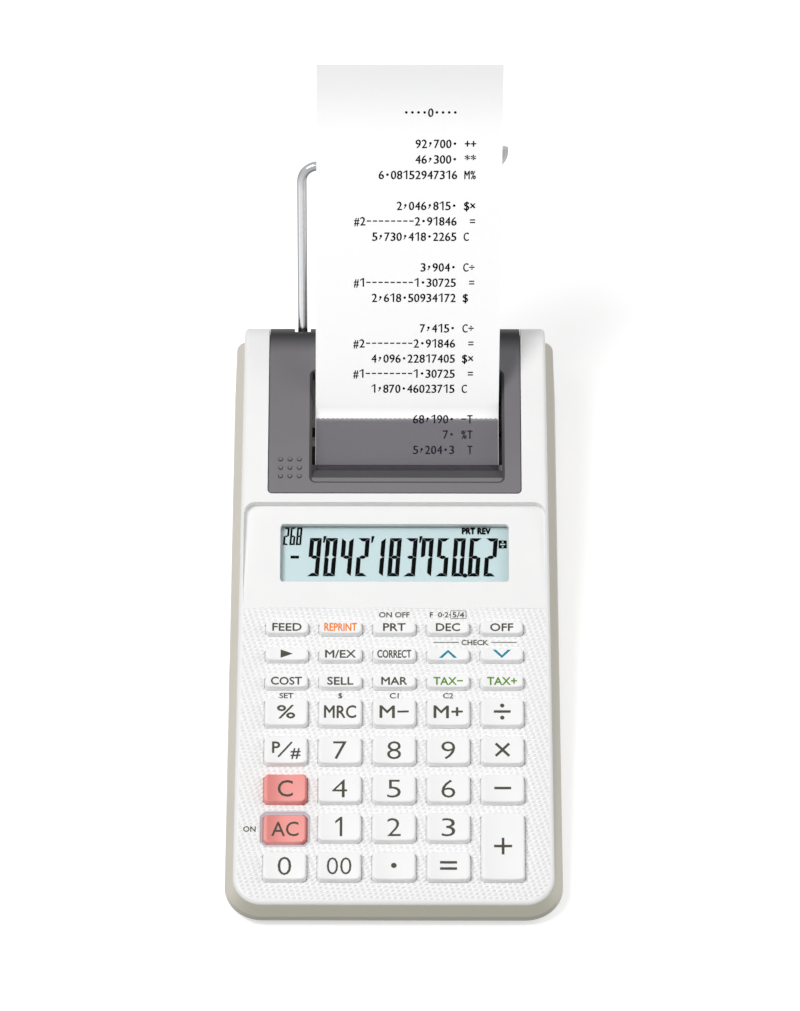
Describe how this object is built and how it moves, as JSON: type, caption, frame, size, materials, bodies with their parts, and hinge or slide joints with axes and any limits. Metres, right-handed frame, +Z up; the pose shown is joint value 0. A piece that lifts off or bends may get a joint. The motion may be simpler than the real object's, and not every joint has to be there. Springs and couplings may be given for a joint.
{
  "type": "portable printing calculator",
  "caption": "Wedge-shaped printing calculator with rubber-domed keys, a tilted display, a drum printer under a lift-off cover, a paper strip and a wire paper arm.",
  "frame": {"origin": "on the table, under the middle of the whole object's bounding box, paper and arm included", "axes": "+Z up, +Y away from the user along the wedge, +X to the user's right"},
  "size_m": [0.1018, 0.2265, 0.1301],
  "materials": {
    "white_shell": "fine moulded texture, white",
    "beige_shell": "satin, warm grey",
    "cover_grey": "satin, dark grey",
    "smoked_clear": "smoked clear plastic",
    "clear_lens": "clear plastic",
    "display_glass": "pale green-blue reflective display",
    "key_white": "smooth, white",
    "key_pink": "smooth, pink",
    "mat_rubber": "silicone, grey",
    "board": "green laminate",
    "printer_black": "moulded, black",
    "roller_rubber": "ground rubber, black",
    "ink_felt": "inked felt, blue-black",
    "motor_steel": "zinc-plated",
    "gear_plastic": "natural acetal",
    "cell_jacket": "plain printed sleeve",
    "contact_metal": "nickel-plated spring steel",
    "screw_steel": "zinc-plated",
    "foot_rubber": "soft, black",
    "arm_wire": "bright plated wire",
    "paper": "uncoated printing paper"
  },
  "bodies": {
    "case": {"upper_case": "white_shell", "lower_case": "beige_shell", "display_window": "clear_lens", "lcd_panel": "display_glass", "key_membrane": "mat_rubber", "main_board": "board", "printer_frame": "printer_black", "drive_motor": "motor_steel", "batteries": "cell_jacket", "battery_contacts": "contact_metal", "case_screws": "screw_steel", "rubber_feet": "foot_rubber", "paper_strip": "paper"},
    "printer_cover": {"printer_cover": "cover_grey", "paper_cutter": "smoked_clear"},
    "battery_cover": {"battery_cover": "beige_shell"},
    "roll_arm": {"roll_arm": "arm_wire"},
    "type_drum": {"type_drum": "printer_black"},
    "feed_roller": {"feed_roller": "roller_rubber"},
    "ink_roller": {"ink_roller": "ink_felt"},
    "motor_pinion": {"motor_pinion": "gear_plastic"},
    "key_0": {"key_0": "key_white"},
    "key_00": {"key_00": "key_white"},
    "key_point": {"key_point": "key_white"},
    "key_equals": {"key_equals": "key_white"},
    "key_all_clear": {"key_all_clear": "key_pink"},
    "key_1": {"key_1": "key_white"},
    "key_2": {"key_2": "key_white"},
    "key_3": {"key_3": "key_white"},
    "key_clear": {"key_clear": "key_pink"},
    "key_4": {"key_4": "key_white"},
    "key_5": {"key_5": "key_white"},
    "key_6": {"key_6": "key_white"},
    "key_minus": {"key_minus": "key_white"},
    "key_print_code": {"key_print_code": "key_white"},
    "key_7": {"key_7": "key_white"},
    "key_8": {"key_8": "key_white"},
    "key_9": {"key_9": "key_white"},
    "key_multiply": {"key_multiply": "key_white"},
    "key_percent": {"key_percent": "key_white"},
    "key_memory_recall": {"key_memory_recall": "key_white"},
    "key_memory_minus": {"key_memory_minus": "key_white"},
    "key_memory_plus": {"key_memory_plus": "key_white"},
    "key_divide": {"key_divide": "key_white"},
    "key_cost": {"key_cost": "key_white"},
    "key_sell": {"key_sell": "key_white"},
    "key_margin": {"key_margin": "key_white"},
    "key_tax_minus": {"key_tax_minus": "key_white"},
    "key_tax_plus": {"key_tax_plus": "key_white"},
    "key_replay": {"key_replay": "key_white"},
    "key_exchange": {"key_exchange": "key_white"},
    "key_correct": {"key_correct": "key_white"},
    "key_up": {"key_up": "key_white"},
    "key_down": {"key_down": "key_white"},
    "key_feed": {"key_feed": "key_white"},
    "key_copy": {"key_copy": "key_white"},
    "key_print": {"key_print": "key_white"},
    "key_decimal": {"key_decimal": "key_white"},
    "key_off": {"key_off": "key_white"},
    "key_plus": {"key_plus": "key_white"}
  },
  "joints": [
    {"name": "key_0_press", "type": "slide", "parent": "case", "child": "key_0", "axis": [0, 0.1586, -0.9873], "range_m": [0, 0.0012], "stiffness_N_per_m": 400, "springref_m": -0.0006},
    {"name": "key_00_press", "type": "slide", "parent": "case", "child": "key_00", "axis": [0, 0.1586, -0.9873], "range_m": [0, 0.0012], "stiffness_N_per_m": 400, "springref_m": -0.0006},
    {"name": "key_point_press", "type": "slide", "parent": "case", "child": "key_point", "axis": [0, 0.1586, -0.9873], "range_m": [0, 0.0012], "stiffness_N_per_m": 400, "springref_m": -0.0006},
    {"name": "key_equals_press", "type": "slide", "parent": "case", "child": "key_equals", "axis": [0, 0.1586, -0.9873], "range_m": [0, 0.0012], "stiffness_N_per_m": 400, "springref_m": -0.0006},
    {"name": "key_all_clear_press", "type": "slide", "parent": "case", "child": "key_all_clear", "axis": [0, 0.1586, -0.9873], "range_m": [0, 0.0012], "stiffness_N_per_m": 400, "springref_m": -0.0006},
    {"name": "key_1_press", "type": "slide", "parent": "case", "child": "key_1", "axis": [0, 0.1586, -0.9873], "range_m": [0, 0.0012], "stiffness_N_per_m": 400, "springref_m": -0.0006},
    {"name": "key_2_press", "type": "slide", "parent": "case", "child": "key_2", "axis": [0, 0.1586, -0.9873], "range_m": [0, 0.0012], "stiffness_N_per_m": 400, "springref_m": -0.0006},
    {"name": "key_3_press", "type": "slide", "parent": "case", "child": "key_3", "axis": [0, 0.1586, -0.9873], "range_m": [0, 0.0012], "stiffness_N_per_m": 400, "springref_m": -0.0006},
    {"name": "key_clear_press", "type": "slide", "parent": "case", "child": "key_clear", "axis": [0, 0.1586, -0.9873], "range_m": [0, 0.0012], "stiffness_N_per_m": 400, "springref_m": -0.0006},
    {"name": "key_4_press", "type": "slide", "parent": "case", "child": "key_4", "axis": [0, 0.1586, -0.9873], "range_m": [0, 0.0012], "stiffness_N_per_m": 400, "springref_m": -0.0006},
    {"name": "key_5_press", "type": "slide", "parent": "case", "child": "key_5", "axis": [0, 0.1586, -0.9873], "range_m": [0, 0.0012], "stiffness_N_per_m": 400, "springref_m": -0.0006},
    {"name": "key_6_press", "type": "slide", "parent": "case", "child": "key_6", "axis": [0, 0.1586, -0.9873], "range_m": [0, 0.0012], "stiffness_N_per_m": 400, "springref_m": -0.0006},
    {"name": "key_minus_press", "type": "slide", "parent": "case", "child": "key_minus", "axis": [0, 0.1586, -0.9873], "range_m": [0, 0.0012], "stiffness_N_per_m": 400, "springref_m": -0.0006},
    {"name": "key_print_code_press", "type": "slide", "parent": "case", "child": "key_print_code", "axis": [0, 0.1586, -0.9873], "range_m": [0, 0.0012], "stiffness_N_per_m": 400, "springref_m": -0.0006},
    {"name": "key_7_press", "type": "slide", "parent": "case", "child": "key_7", "axis": [0, 0.1586, -0.9873], "range_m": [0, 0.0012], "stiffness_N_per_m": 400, "springref_m": -0.0006},
    {"name": "key_8_press", "type": "slide", "parent": "case", "child": "key_8", "axis": [0, 0.1586, -0.9873], "range_m": [0, 0.0012], "stiffness_N_per_m": 400, "springref_m": -0.0006},
    {"name": "key_9_press", "type": "slide", "parent": "case", "child": "key_9", "axis": [0, 0.1586, -0.9873], "range_m": [0, 0.0012], "stiffness_N_per_m": 400, "springref_m": -0.0006},
    {"name": "key_multiply_press", "type": "slide", "parent": "case", "child": "key_multiply", "axis": [0, 0.1586, -0.9873], "range_m": [0, 0.0012], "stiffness_N_per_m": 400, "springref_m": -0.0006},
    {"name": "key_percent_press", "type": "slide", "parent": "case", "child": "key_percent", "axis": [0, 0.1586, -0.9873], "range_m": [0, 0.0012], "stiffness_N_per_m": 400, "springref_m": -0.0006},
    {"name": "key_memory_recall_press", "type": "slide", "parent": "case", "child": "key_memory_recall", "axis": [0, 0.1586, -0.9873], "range_m": [0, 0.0012], "stiffness_N_per_m": 400, "springref_m": -0.0006},
    {"name": "key_memory_minus_press", "type": "slide", "parent": "case", "child": "key_memory_minus", "axis": [0, 0.1586, -0.9873], "range_m": [0, 0.0012], "stiffness_N_per_m": 400, "springref_m": -0.0006},
    {"name": "key_memory_plus_press", "type": "slide", "parent": "case", "child": "key_memory_plus", "axis": [0, 0.1586, -0.9873], "range_m": [0, 0.0012], "stiffness_N_per_m": 400, "springref_m": -0.0006},
    {"name": "key_divide_press", "type": "slide", "parent": "case", "child": "key_divide", "axis": [0, 0.1586, -0.9873], "range_m": [0, 0.0012], "stiffness_N_per_m": 400, "springref_m": -0.0006},
    {"name": "key_cost_press", "type": "slide", "parent": "case", "child": "key_cost", "axis": [0, 0.1586, -0.9873], "range_m": [0, 0.0012], "stiffness_N_per_m": 400, "springref_m": -0.0006},
    {"name": "key_sell_press", "type": "slide", "parent": "case", "child": "key_sell", "axis": [0, 0.1586, -0.9873], "range_m": [0, 0.0012], "stiffness_N_per_m": 400, "springref_m": -0.0006},
    {"name": "key_margin_press", "type": "slide", "parent": "case", "child": "key_margin", "axis": [0, 0.1586, -0.9873], "range_m": [0, 0.0012], "stiffness_N_per_m": 400, "springref_m": -0.0006},
    {"name": "key_tax_minus_press", "type": "slide", "parent": "case", "child": "key_tax_minus", "axis": [0, 0.1586, -0.9873], "range_m": [0, 0.0012], "stiffness_N_per_m": 400, "springref_m": -0.0006},
    {"name": "key_tax_plus_press", "type": "slide", "parent": "case", "child": "key_tax_plus", "axis": [0, 0.1586, -0.9873], "range_m": [0, 0.0012], "stiffness_N_per_m": 400, "springref_m": -0.0006},
    {"name": "key_replay_press", "type": "slide", "parent": "case", "child": "key_replay", "axis": [0, 0.1586, -0.9873], "range_m": [0, 0.0012], "stiffness_N_per_m": 400, "springref_m": -0.0006},
    {"name": "key_exchange_press", "type": "slide", "parent": "case", "child": "key_exchange", "axis": [0, 0.1586, -0.9873], "range_m": [0, 0.0012], "stiffness_N_per_m": 400, "springref_m": -0.0006},
    {"name": "key_correct_press", "type": "slide", "parent": "case", "child": "key_correct", "axis": [0, 0.1586, -0.9873], "range_m": [0, 0.0012], "stiffness_N_per_m": 400, "springref_m": -0.0006},
    {"name": "key_up_press", "type": "slide", "parent": "case", "child": "key_up", "axis": [0, 0.1586, -0.9873], "range_m": [0, 0.0012], "stiffness_N_per_m": 400, "springref_m": -0.0006},
    {"name": "key_down_press", "type": "slide", "parent": "case", "child": "key_down", "axis": [0, 0.1586, -0.9873], "range_m": [0, 0.0012], "stiffness_N_per_m": 400, "springref_m": -0.0006},
    {"name": "key_feed_press", "type": "slide", "parent": "case", "child": "key_feed", "axis": [0, 0.1586, -0.9873], "range_m": [0, 0.0012], "stiffness_N_per_m": 400, "springref_m": -0.0006},
    {"name": "key_copy_press", "type": "slide", "parent": "case", "child": "key_copy", "axis": [0, 0.1586, -0.9873], "range_m": [0, 0.0012], "stiffness_N_per_m": 400, "springref_m": -0.0006},
    {"name": "key_print_press", "type": "slide", "parent": "case", "child": "key_print", "axis": [0, 0.1586, -0.9873], "range_m": [0, 0.0012], "stiffness_N_per_m": 400, "springref_m": -0.0006},
    {"name": "key_decimal_press", "type": "slide", "parent": "case", "child": "key_decimal", "axis": [0, 0.1586, -0.9873], "range_m": [0, 0.0012], "stiffness_N_per_m": 400, "springref_m": -0.0006},
    {"name": "key_off_press", "type": "slide", "parent": "case", "child": "key_off", "axis": [0, 0.1586, -0.9873], "range_m": [0, 0.0012], "stiffness_N_per_m": 400, "springref_m": -0.0006},
    {"name": "key_plus_press", "type": "slide", "parent": "case", "child": "key_plus", "axis": [0, 0.1586, -0.9873], "range_m": [0, 0.0012], "stiffness_N_per_m": 400, "springref_m": -0.0006},
    {"name": "cover_lift", "type": "slide", "parent": "case", "child": "printer_cover", "axis": [0, 0, 1], "range_m": [0, 0.012]},
    {"name": "battery_door_slide", "type": "slide", "parent": "case", "child": "battery_cover", "axis": [0, 1, 0], "range_m": [0, 0.03]},
    {"name": "arm_pull", "type": "slide", "parent": "case", "child": "roll_arm", "axis": [0, 0.5, 0.866], "range_m": [0, 0.015]},
    {"name": "drum_spin", "type": "hinge", "parent": "case", "child": "type_drum", "pos_m": [0, 0.0305, 0.0248], "axis": [1, 0, 0], "continuous": true},
    {"name": "feed_spin", "type": "hinge", "parent": "case", "child": "feed_roller", "pos_m": [0, 0.0405, 0.0248], "axis": [1, 0, 0], "continuous": true},
    {"name": "ink_spin", "type": "hinge", "parent": "case", "child": "ink_roller", "pos_m": [0, 0.0236, 0.0248], "axis": [1, 0, 0], "continuous": true},
    {"name": "pinion_spin", "type": "hinge", "parent": "case", "child": "motor_pinion", "pos_m": [0, 0.02336, 0.02248], "axis": [1, 0, 0], "continuous": true}
  ],
  "couplings": [
    {"joint": "feed_spin", "follows": "drum_spin", "ratio": -1},
    {"joint": "ink_spin", "follows": "drum_spin", "ratio": -1.5385},
    {"joint": "pinion_spin", "follows": "drum_spin", "ratio": -2}
  ]
}
